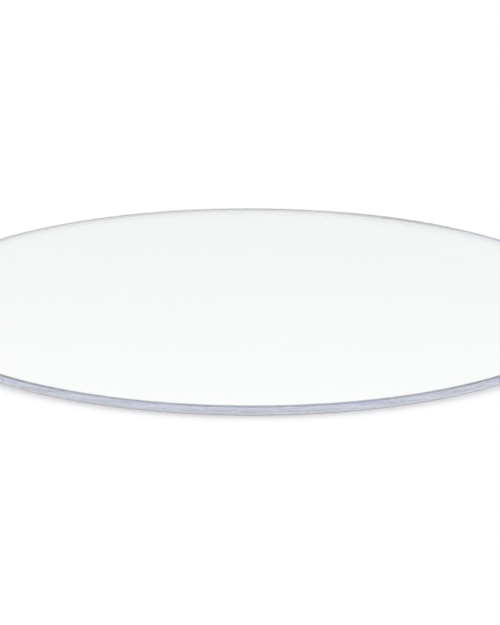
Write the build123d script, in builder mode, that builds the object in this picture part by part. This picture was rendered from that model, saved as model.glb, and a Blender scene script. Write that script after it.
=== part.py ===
"""Round countertop mirror: a frameless silvered glass plate that lies flat on a counter.

Lengths are in millimetres. The origin is the centre of the plate, where its backing film meets the counter,
and +Z points up through the mirror face. From the top down the plate is glass, silver, copper, primer, top
coat, adhesive and backing film. A lacquer bead seals the lower arris.
"""

import os

from build123d import *

# Glass plate
MIRROR_DIAMETER = 250.0
GLASS_THICKNESS = 3.0
ARRIS = 0.6  # leg of the 45 degree arris ground round both rims

# Coatings on the underside, in the order they are laid on the glass
EDGE_MARGIN = 0.1  # bare glass between the lower arris and the edge of the coatings
SILVER_THICKNESS = 0.02
COPPER_THICKNESS = 0.02
PRIMER_THICKNESS = 0.03
TOP_COAT_THICKNESS = 0.03

# Lacquer bead that fills in the lower arris and covers the bare glass and the edges of the coatings
SEAL_RADIUS = 0.1  # of the bead's outer corner

# Backing film that keeps the paint off the counter and holds the glass together if it breaks
FILM_THICKNESS = 0.08
FILM_ADHESIVE_THICKNESS = 0.02
FILM_INSET = 0.1  # from the edge of the coatings to the edge of the film
ADHESIVE_INSET = 0.1  # from the edge of the film to the edge of its adhesive

# Worked out from the dimensions above
RIM_RADIUS = MIRROR_DIAMETER / 2
ARRIS_RADIUS = RIM_RADIUS - ARRIS  # where the flat faces end and the arrises begin
COAT_RADIUS = ARRIS_RADIUS - EDGE_MARGIN
FILM_RADIUS = COAT_RADIUS - FILM_INSET
ADHESIVE_BACK = FILM_THICKNESS
PAINT_BACK = ADHESIVE_BACK + FILM_ADHESIVE_THICKNESS
PRIMER_BACK = PAINT_BACK + TOP_COAT_THICKNESS
COPPER_BACK = PRIMER_BACK + PRIMER_THICKNESS
SILVER_BACK = COPPER_BACK + COPPER_THICKNESS
GLASS_BACK = SILVER_BACK + SILVER_THICKNESS


def save(part, label):
    """Labels a finished piece and writes it as one STEP file."""
    part.label = label
    export_step(part, f"parts/{label}.step")


def layer(label, radius, back, thickness):
    """Saves a plain round layer whose underside is at the height called back."""
    with BuildPart() as disc:
        with BuildSketch(Plane.XY.offset(back)):
            Circle(radius)
        extrude(amount=thickness)
    save(disc.part, label)


os.makedirs("parts", exist_ok=True)

# Glass: a float glass disc with a flat edge between two ground arrises
with BuildPart() as glass_plate:
    with BuildSketch(Plane.XY.offset(GLASS_BACK)):
        Circle(RIM_RADIUS)
    extrude(amount=GLASS_THICKNESS)
    chamfer(glass_plate.edges().filter_by(GeomType.CIRCLE), length=ARRIS)
save(glass_plate.part, "glass_plate")

# Coatings: the reflecting silver, the copper that shields it, and two coats of backing paint
layer("silver_layer", COAT_RADIUS, SILVER_BACK, SILVER_THICKNESS)
layer("copper_layer", COAT_RADIUS, COPPER_BACK, COPPER_THICKNESS)
layer("primer_coat", COAT_RADIUS, PRIMER_BACK, PRIMER_THICKNESS)
layer("top_coat", COAT_RADIUS, PAINT_BACK, TOP_COAT_THICKNESS)

# Edge seal: a lacquer bead that fills in the lower arris, flush with the rim and with the painted back
with BuildPart() as edge_seal:
    with BuildSketch(Plane.XZ):
        with BuildLine():
            Polyline(
                (RIM_RADIUS - SEAL_RADIUS, PAINT_BACK),
                (COAT_RADIUS, PAINT_BACK),
                (COAT_RADIUS, GLASS_BACK),
                (ARRIS_RADIUS, GLASS_BACK),
                (RIM_RADIUS, GLASS_BACK + ARRIS),
                (RIM_RADIUS, PAINT_BACK + SEAL_RADIUS),
            )
            CenterArc((RIM_RADIUS - SEAL_RADIUS, PAINT_BACK + SEAL_RADIUS), SEAL_RADIUS, 0, -90)
        make_face()
    revolve(axis=Axis.Z)
save(edge_seal.part, "edge_seal")

# Backing: the film that rests on the counter, and the adhesive that bonds it to the paint
layer("film_adhesive", FILM_RADIUS - ADHESIVE_INSET, ADHESIVE_BACK, FILM_ADHESIVE_THICKNESS)
layer("backing_film", FILM_RADIUS, 0, FILM_THICKNESS)
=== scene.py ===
import math

import bmesh
import bpy
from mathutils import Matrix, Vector


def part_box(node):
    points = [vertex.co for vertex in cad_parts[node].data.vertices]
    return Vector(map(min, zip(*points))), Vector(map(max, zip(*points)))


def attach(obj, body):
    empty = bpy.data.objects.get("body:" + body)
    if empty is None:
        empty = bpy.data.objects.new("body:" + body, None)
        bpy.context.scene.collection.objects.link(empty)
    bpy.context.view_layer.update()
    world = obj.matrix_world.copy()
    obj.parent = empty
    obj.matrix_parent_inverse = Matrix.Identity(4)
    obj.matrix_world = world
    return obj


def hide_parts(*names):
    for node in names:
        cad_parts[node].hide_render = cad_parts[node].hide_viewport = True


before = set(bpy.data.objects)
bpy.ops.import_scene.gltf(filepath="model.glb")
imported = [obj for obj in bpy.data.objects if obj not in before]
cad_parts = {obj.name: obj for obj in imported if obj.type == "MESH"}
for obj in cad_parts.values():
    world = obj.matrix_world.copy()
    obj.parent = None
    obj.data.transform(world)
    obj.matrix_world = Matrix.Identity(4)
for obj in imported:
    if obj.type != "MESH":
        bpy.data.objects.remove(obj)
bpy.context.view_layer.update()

MM = 0.001

# Mesh
ROUND_STEPS = 720  # faces round every piece of the plate
SHARP_ANGLE = math.radians(20)  # edges that turn by more than this shade as sharp
CONTACT = 0.004 * MM  # how far the silver and the seal reach into the glass, so that no air shows between
CORNER_RADIUS = 0.05 * MM  # softening of the glass's ground corners
CORNER_STEPS = 4  # faces across each of those corners
CORNER_HOLD = 0.03 * MM  # strip of flat kept beside every softened corner, so that the flats shade flat
SEAL_RADIUS = 0.1 * MM  # of the seal's outer corner
SEAL_STEPS = 8  # faces across that corner

# Camera: it looks along +Y and down at the mirror face, with the plate cut off at both sides
VIEW_DISTANCE = 976 * MM
VIEW_ELEVATION = math.radians(16.985)
VIEW_AIM = (-0.12 * MM, -21.97 * MM)  # X and Y of the point of the mirror face that it looks at
VIEW_ROLL = math.radians(0.13)
LENS = 157.2  # millimetres, like the sensor
SENSOR = 36.0  # along the picture's longer side
CLIP_START = 10 * MM

# Light: a soft white studio with a broad bright panel high on the far side, and behind the camera a dimmer
# room with a low grey screen at its left. Each level is the sine of a height above the horizon and the
# light's colour there.
FAR_LEVELS = (
    (0.00, (1.05, 1.05, 1.05)),
    (0.12, (1.05, 1.05, 1.05)),
    (0.25, (0.913, 0.930, 0.920)),
    (0.335, (1.000, 1.013, 1.003)),
    (0.41, (3.16, 3.16, 3.16)),
    (0.53, (3.38, 3.38, 3.38)),
    (0.64, (1.14, 1.14, 1.14)),
    (0.75, (0.93, 0.93, 0.93)),
    (1.00, (0.62, 0.62, 0.62)),
)
FRONT_LEVELS = (
    (0.00, (0.955, 0.95, 0.91)),
    (0.36, (0.955, 0.95, 0.91)),
    (0.45, (0.53, 0.535, 0.553)),
    (0.60, (0.51, 0.515, 0.533)),
    (0.80, (0.59, 0.595, 0.608)),
    (1.00, (0.62, 0.62, 0.62)),
)
SCREEN = (0.36, 0.355, 0.335)
SCREEN_LEVELS = ((0.00, SCREEN), (0.36, SCREEN), *FRONT_LEVELS[2:])  # the same room above the screen
FRONT_FADE = (0.25, -0.85)  # where along Y the far side starts to turn into the room, and has done so
SCREEN_FADE = (-0.45, -0.85)  # where along X, to the left, the screen starts, and is darkest
FLOOR_COLOUR = (0.93, 0.93, 0.93)
FLOOR_RADIUS = 6.0  # metres, so that its edge is far outside the picture
FLOOR_THICKNESS = 1 * MM
FLOOR_STEPS = 96

# How often light may bounce. Inside the plate it goes to and fro between the silver and the face many times
# before it leaves by the rim.
MAX_BOUNCES = 80
GLOSSY_BOUNCES = 72
TRANSMISSION_BOUNCES = 32
DIFFUSE_BOUNCES = 4

# Glass and silver
GLASS_IOR = 1.52
GLASS_TINT = (0.29, 0.46, 1.0)  # a metre of glass absorbs what this lacks of white, times the density
GLASS_DENSITY = 0.75
SILVER_LOW = (0.976, 0.978, 0.974)
SILVER_HIGH = (0.983, 0.985, 0.981)
EDGE_ROUGHNESS = (0.105, 0.13)
ARRIS_ROUGHNESS = (0.42, 0.55)
ARRIS_CLEARNESS = 0.78  # share of the light that the ground arrises let through; the rest they scatter back

# Material slots of the glass mesh
FACE_SLOT = 0
WALL_SLOT = 1
ARRIS_SLOT = 2


# ---------------------------------------------------------------- meshes
def turned(name, profile, slots=None, steps=ROUND_STEPS):
    """A closed turned solid. The profile goes once round its section, and starts and ends on the axis
    unless the solid is a ring. slots gives each stretch of the profile its material slot."""
    bm = bmesh.new()
    rings = []
    for radius, height in profile:
        count = steps if radius > 0 else 1
        rings.append([
            bm.verts.new((
                radius * math.cos(2 * math.pi * step / steps),
                radius * math.sin(2 * math.pi * step / steps),
                height,
            ))
            for step in range(count)
        ])
    pairs = list(zip(rings, rings[1:]))
    if len(rings[0]) > 1:
        pairs.append((rings[-1], rings[0]))
    for stretch, (first, second) in enumerate(pairs):
        for step in range(steps):
            after = (step + 1) % steps
            if len(first) == 1:
                corners = (first[0], second[after], second[step])
            elif len(second) == 1:
                corners = (first[step], first[after], second[0])
            else:
                corners = (first[step], first[after], second[after], second[step])
            face = bm.faces.new(corners)
            face.smooth = True
            face.material_index = slots[stretch] if slots else 0
    bmesh.ops.recalc_face_normals(bm, faces=bm.faces)
    for edge in bm.edges:
        edge.smooth = edge.calc_face_angle() < SHARP_ANGLE
    mesh = bpy.data.meshes.new(name)
    bm.to_mesh(mesh)
    bm.free()
    piece = bpy.data.objects.new(name, mesh)
    bpy.context.scene.collection.objects.link(piece)
    return piece


def rounded(before, corner, after, radius, steps):
    """The points of an arc in place of the corner, with one more on the flat at each side."""
    corner_at = Vector(corner)
    back_way = (Vector(before) - corner_at).normalized()
    on_way = (Vector(after) - corner_at).normalized()
    half = back_way.angle(on_way) / 2
    reach = radius / math.tan(half)
    centre = corner_at + (back_way + on_way).normalized() * (radius / math.sin(half))
    start = corner_at + back_way * reach - centre
    end = corner_at + on_way * reach - centre
    sweep = start.angle(end)
    points = [tuple(corner_at + back_way * (reach + CORNER_HOLD))]
    for step in range(steps + 1):
        share = step / steps
        arm = start * math.sin((1 - share) * sweep) + end * math.sin(share * sweep)
        points.append(tuple(centre + arm / math.sin(sweep)))
    points.append(tuple(corner_at + on_way * (reach + CORNER_HOLD)))
    return points


def layer_profile(radius, low, high):
    """The profile of a plain round layer between two heights."""
    return [(0.0, low), (radius, low), (radius, high), (0.0, high)]


def radius_of(node):
    """The radius that fits in a round CAD node's box whichever way its mesh is turned."""
    low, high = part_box(node)
    return min(-low.x, high.x, -low.y, high.y)


# ---------------------------------------------------------------- shader nodes
def add(tree, kind, **values):
    """A node with its inputs set. An underscore in a name stands for a space."""
    node = tree.nodes.new(kind)
    for name, value in values.items():
        node.inputs[name.replace("_", " ")].default_value = value
    return node


def new_material(name, **values):
    """A material with one Principled shader, whose plain values are set on its own sockets."""
    material = bpy.data.materials.new(name)
    material.use_nodes = True
    tree = material.node_tree
    tree.nodes.clear()
    out = add(tree, "ShaderNodeOutputMaterial")
    shader = add(tree, "ShaderNodeBsdfPrincipled", **values)
    tree.links.new(shader.outputs["BSDF"], out.inputs["Surface"])
    return material, shader, out


def noise(tree, scale, detail=4.0, stretch=(1, 1, 1), roughness=0.55):
    """Noise over the object's own coordinates, in metres. stretch multiplies them along each axis."""
    coords = add(tree, "ShaderNodeTexCoord")
    mapping = add(tree, "ShaderNodeMapping", Scale=stretch)
    texture = add(tree, "ShaderNodeTexNoise", Scale=scale, Detail=detail, Roughness=roughness)
    tree.links.new(coords.outputs["Object"], mapping.inputs["Vector"])
    tree.links.new(mapping.outputs["Vector"], texture.inputs["Vector"])
    return texture.outputs["Fac"]


def spread(tree, value, low=0.0, high=1.0, start=0.3, end=0.7):
    """The value, widened so that it goes from low, at the start of its range, to high, at the end."""
    widen = add(tree, "ShaderNodeMapRange", From_Min=start, From_Max=end, To_Min=low, To_Max=high)
    tree.links.new(value, widen.inputs["Value"])
    return widen.outputs["Result"]


def fade(tree, value, start, end):
    """A share that goes smoothly from 0, where the value is at the start, to 1, where it is at the end."""
    share = spread(tree, value, start=start, end=end)
    share.node.interpolation_type = "SMOOTHSTEP"
    return share


def mixed(tree, share, first, second):
    """The first colour where the share is 0, and the second where it is 1. Each is a colour or a socket."""
    node = tree.nodes.new("ShaderNodeMix")
    node.data_type = "RGBA"
    tree.links.new(share, node.inputs["Factor"])
    for name, colour in (("A", first), ("B", second)):
        if isinstance(colour, tuple):
            node.inputs[name].default_value = (*colour, 1)
        else:
            tree.links.new(colour, node.inputs[name])
    return node.outputs["Result"]


def ramp(tree, value, levels):
    """A colour that goes straight from each level to the next as the value goes up."""
    node = tree.nodes.new("ShaderNodeValToRGB")
    stops = node.color_ramp.elements
    stops.remove(stops[0])
    stops[0].position = levels[0][0]
    stops[0].color = (*levels[0][1], 1)
    for place, colour in levels[1:]:
        stops.new(place).color = (*colour, 1)
    tree.links.new(value, node.inputs["Fac"])
    return node.outputs["Color"]


def bump(tree, value, shader, distance):
    """Relief that is as deep as the distance where the value goes from 0 to 1."""
    node = add(tree, "ShaderNodeBump", Strength=1.0, Distance=distance)
    tree.links.new(value, node.inputs["Height"])
    tree.links.new(node.outputs["Normal"], shader.inputs["Normal"])


# ---------------------------------------------------------------- materials
def coated(name, low, high, rough, patch, grain, relief, **values):
    """A paint, film or metal layer. Its tone goes from low to high in broad patches, and a finer grain
    gives it roughness and relief. patch and grain are the scales of the two noises."""
    material, shader, _ = new_material(name, **values)
    tree = material.node_tree
    patches = spread(tree, noise(tree, patch))
    tree.links.new(mixed(tree, patches, low, high), shader.inputs["Base Color"])
    grains = noise(tree, grain, detail=3)
    tree.links.new(spread(tree, grains, *rough), shader.inputs["Roughness"])
    bump(tree, grains, shader, relief)
    return material


def glass(
    name, tint_low, tint_high, rough, rough_scale, relief, relief_scale,
    stretch=(1, 1, 1), clearness=1.0,
):
    """One kind of surface of the glass. The absorption behind it is the same for all of them, so the inside
    is the same whichever surface a ray comes in by."""
    material, shader, out = new_material(name, Transmission_Weight=clearness, IOR=GLASS_IOR)
    tree = material.node_tree
    patches = noise(tree, rough_scale, stretch=stretch)
    tint = mixed(tree, spread(tree, patches), tint_low, tint_high)
    tree.links.new(tint, shader.inputs["Base Color"])
    tree.links.new(spread(tree, patches, *rough), shader.inputs["Roughness"])
    bump(tree, noise(tree, relief_scale, stretch=stretch), shader, relief)
    volume = add(tree, "ShaderNodeVolumeAbsorption", Color=(*GLASS_TINT, 1), Density=GLASS_DENSITY)
    tree.links.new(volume.outputs["Volume"], out.inputs["Volume"])
    return material


clear_glass = glass(
    "clear_glass", tint_low=(0.995, 0.996, 0.996), tint_high=(1, 1, 1),
    rough=(0.0, 0.006), rough_scale=35, relief=0.00002 * MM, relief_scale=20,
)
ground_wall = glass(
    "ground_glass_edge", tint_low=(0.97, 0.975, 0.98), tint_high=(1, 1, 1),
    rough=EDGE_ROUGHNESS, rough_scale=1400, relief=0.0002 * MM, relief_scale=1400, stretch=(1, 1, 6),
)
ground_arris = glass(
    "ground_glass_arris", tint_low=(0.65, 0.66, 0.66), tint_high=(0.71, 0.72, 0.72),
    rough=ARRIS_ROUGHNESS, rough_scale=700, relief=0.003 * MM, relief_scale=1100,
    clearness=ARRIS_CLEARNESS,
)
silver_film = coated(
    "silver", low=SILVER_LOW, high=SILVER_HIGH,
    rough=(0.0, 0.006), patch=25, grain=60, relief=0.00001 * MM, Metallic=1.0,
)
copper_film = coated(
    "copper", low=(0.66, 0.36, 0.24), high=(0.78, 0.47, 0.33),
    rough=(0.25, 0.4), patch=60, grain=900, relief=0.001 * MM, Metallic=1.0,
)
primer_paint = coated(
    "primer", low=(0.30, 0.17, 0.13), high=(0.40, 0.25, 0.19),
    rough=(0.6, 0.8), patch=40, grain=1200, relief=0.004 * MM,
)
top_paint = coated(
    "backing_paint", low=(0.26, 0.29, 0.30), high=(0.33, 0.36, 0.37),
    rough=(0.45, 0.65), patch=40, grain=1500, relief=0.004 * MM,
)
seal_lacquer = coated(
    "seal_lacquer", low=(0.68, 0.70, 0.735), high=(0.76, 0.78, 0.815),
    rough=(0.25, 0.45), patch=300, grain=2500, relief=0.004 * MM,
)
clear_adhesive = coated(
    "adhesive", low=(0.76, 0.76, 0.70), high=(0.85, 0.85, 0.80),
    rough=(0.2, 0.35), patch=80, grain=700, relief=0.002 * MM,
)
white_film = coated(
    "backing_film", low=(0.78, 0.79, 0.80), high=(0.86, 0.87, 0.88),
    rough=(0.5, 0.7), patch=30, grain=2200, relief=0.006 * MM,
)

# ---------------------------------------------------------------- the plate, from the frame's own boxes
rim_radius = radius_of("glass_plate")
coat_radius = radius_of("silver_layer")
glass_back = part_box("glass_plate")[0].z
mirror_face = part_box("glass_plate")[1].z
silver_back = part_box("silver_layer")[0].z
paint_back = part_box("top_coat")[0].z
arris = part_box("edge_seal")[1].z - glass_back
arris_radius = rim_radius - arris


def finish_piece(piece, node, slot, *materials):
    """Gives a piece its materials, and has it stand for its CAD node."""
    for material in materials:
        piece.data.materials.append(material)
    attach(piece, "root")
    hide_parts(node)


# Glass: two flat faces, and a ground edge with an arris at each rim
section = [
    (0.0, glass_back),
    (arris_radius, glass_back),
    (rim_radius, glass_back + arris),
    (rim_radius, mirror_face - arris),
    (arris_radius, mirror_face),
    (0.0, mirror_face),
]
outline = [section[0]]
for before, corner, after in zip(section, section[1:], section[2:]):
    outline += rounded(before, corner, after, CORNER_RADIUS, CORNER_STEPS)
outline.append(section[-1])
stretch_slots = []
for (_, start_height), (_, end_height) in zip(outline, outline[1:]):
    height = (start_height + end_height) / 2
    if glass_back + arris < height < mirror_face - arris:
        stretch_slots.append(WALL_SLOT)
    elif glass_back < height < mirror_face:
        stretch_slots.append(ARRIS_SLOT)
    else:
        stretch_slots.append(FACE_SLOT)
plate = turned("mirror_glass", outline, slots=stretch_slots)
finish_piece(plate, "glass_plate", "clear_glass", clear_glass, ground_wall, ground_arris)

# Silver, which bonds to the glass, and the layers under it
silver = turned("mirror_silver", layer_profile(coat_radius, silver_back, glass_back + CONTACT))
finish_piece(silver, "silver_layer", "silver", silver_film)
for name, node, slot, material in (
    ("mirror_copper", "copper_layer", "copper", copper_film),
    ("mirror_primer", "primer_coat", "primer", primer_paint),
    ("mirror_top_coat", "top_coat", "backing_paint", top_paint),
    ("mirror_film_adhesive", "film_adhesive", "adhesive", clear_adhesive),
    ("mirror_backing_film", "backing_film", "film", white_film),
):
    low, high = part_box(node)
    finish_piece(turned(name, layer_profile(radius_of(node), low.z, high.z)), node, slot, material)

# Edge seal: a lacquer bead that fills in the lower arris, with its outer corner rounded
bead_foot = (coat_radius, paint_back)
bead_corner = (rim_radius, paint_back)
seal = turned("mirror_edge_seal", [
    bead_foot,
    *rounded(bead_foot, bead_corner, (rim_radius, mirror_face), SEAL_RADIUS, SEAL_STEPS),
    (rim_radius, glass_back + arris + CONTACT),
    (arris_radius, glass_back + CONTACT),
    (coat_radius, glass_back + CONTACT),
])
finish_piece(seal, "edge_seal", "seal_lacquer", seal_lacquer)

# ---------------------------------------------------------------- floor, light and camera
floor_paper, _, _ = new_material(
    "white_floor", Base_Color=(*FLOOR_COLOUR, 1), Roughness=1.0, Specular_IOR_Level=0.0,
)
floor = turned("studio_floor", layer_profile(FLOOR_RADIUS, -FLOOR_THICKNESS, 0.0), steps=FLOOR_STEPS)
floor.data.materials.append(floor_paper)

scene = bpy.context.scene
world = bpy.data.worlds.new("studio")
scene.world = world
world.use_nodes = True
tree = world.node_tree
tree.nodes.clear()
out = add(tree, "ShaderNodeOutputWorld")
background = add(tree, "ShaderNodeBackground")
direction = add(tree, "ShaderNodeTexCoord")
split = add(tree, "ShaderNodeSeparateXYZ")
tree.links.new(direction.outputs["Generated"], split.inputs["Vector"])
far_side = ramp(tree, split.outputs["Z"], FAR_LEVELS)
room = mixed(
    tree,
    fade(tree, split.outputs["X"], *SCREEN_FADE),
    ramp(tree, split.outputs["Z"], FRONT_LEVELS),
    ramp(tree, split.outputs["Z"], SCREEN_LEVELS),
)
studio = mixed(tree, fade(tree, split.outputs["Y"], *FRONT_FADE), far_side, room)
tree.links.new(studio, background.inputs["Color"])
tree.links.new(background.outputs["Background"], out.inputs["Surface"])

scene.view_settings.view_transform = "Standard"
scene.cycles.max_bounces = MAX_BOUNCES
scene.cycles.glossy_bounces = GLOSSY_BOUNCES
scene.cycles.transmission_bounces = TRANSMISSION_BOUNCES
scene.cycles.diffuse_bounces = DIFFUSE_BOUNCES

back = Vector((0.0, -math.cos(VIEW_ELEVATION), math.sin(VIEW_ELEVATION)))
camera_data = bpy.data.cameras.new("camera")
camera_data.lens = LENS
camera_data.sensor_width = SENSOR
camera_data.clip_start = CLIP_START
camera = bpy.data.objects.new("camera", camera_data)
scene.collection.objects.link(camera)
camera.location = Vector((*VIEW_AIM, mirror_face)) + back * VIEW_DISTANCE
camera.rotation_euler = (-back).to_track_quat("-Z", "Y").to_euler()
camera.rotation_euler.rotate_axis("Z", VIEW_ROLL)
scene.camera = camera
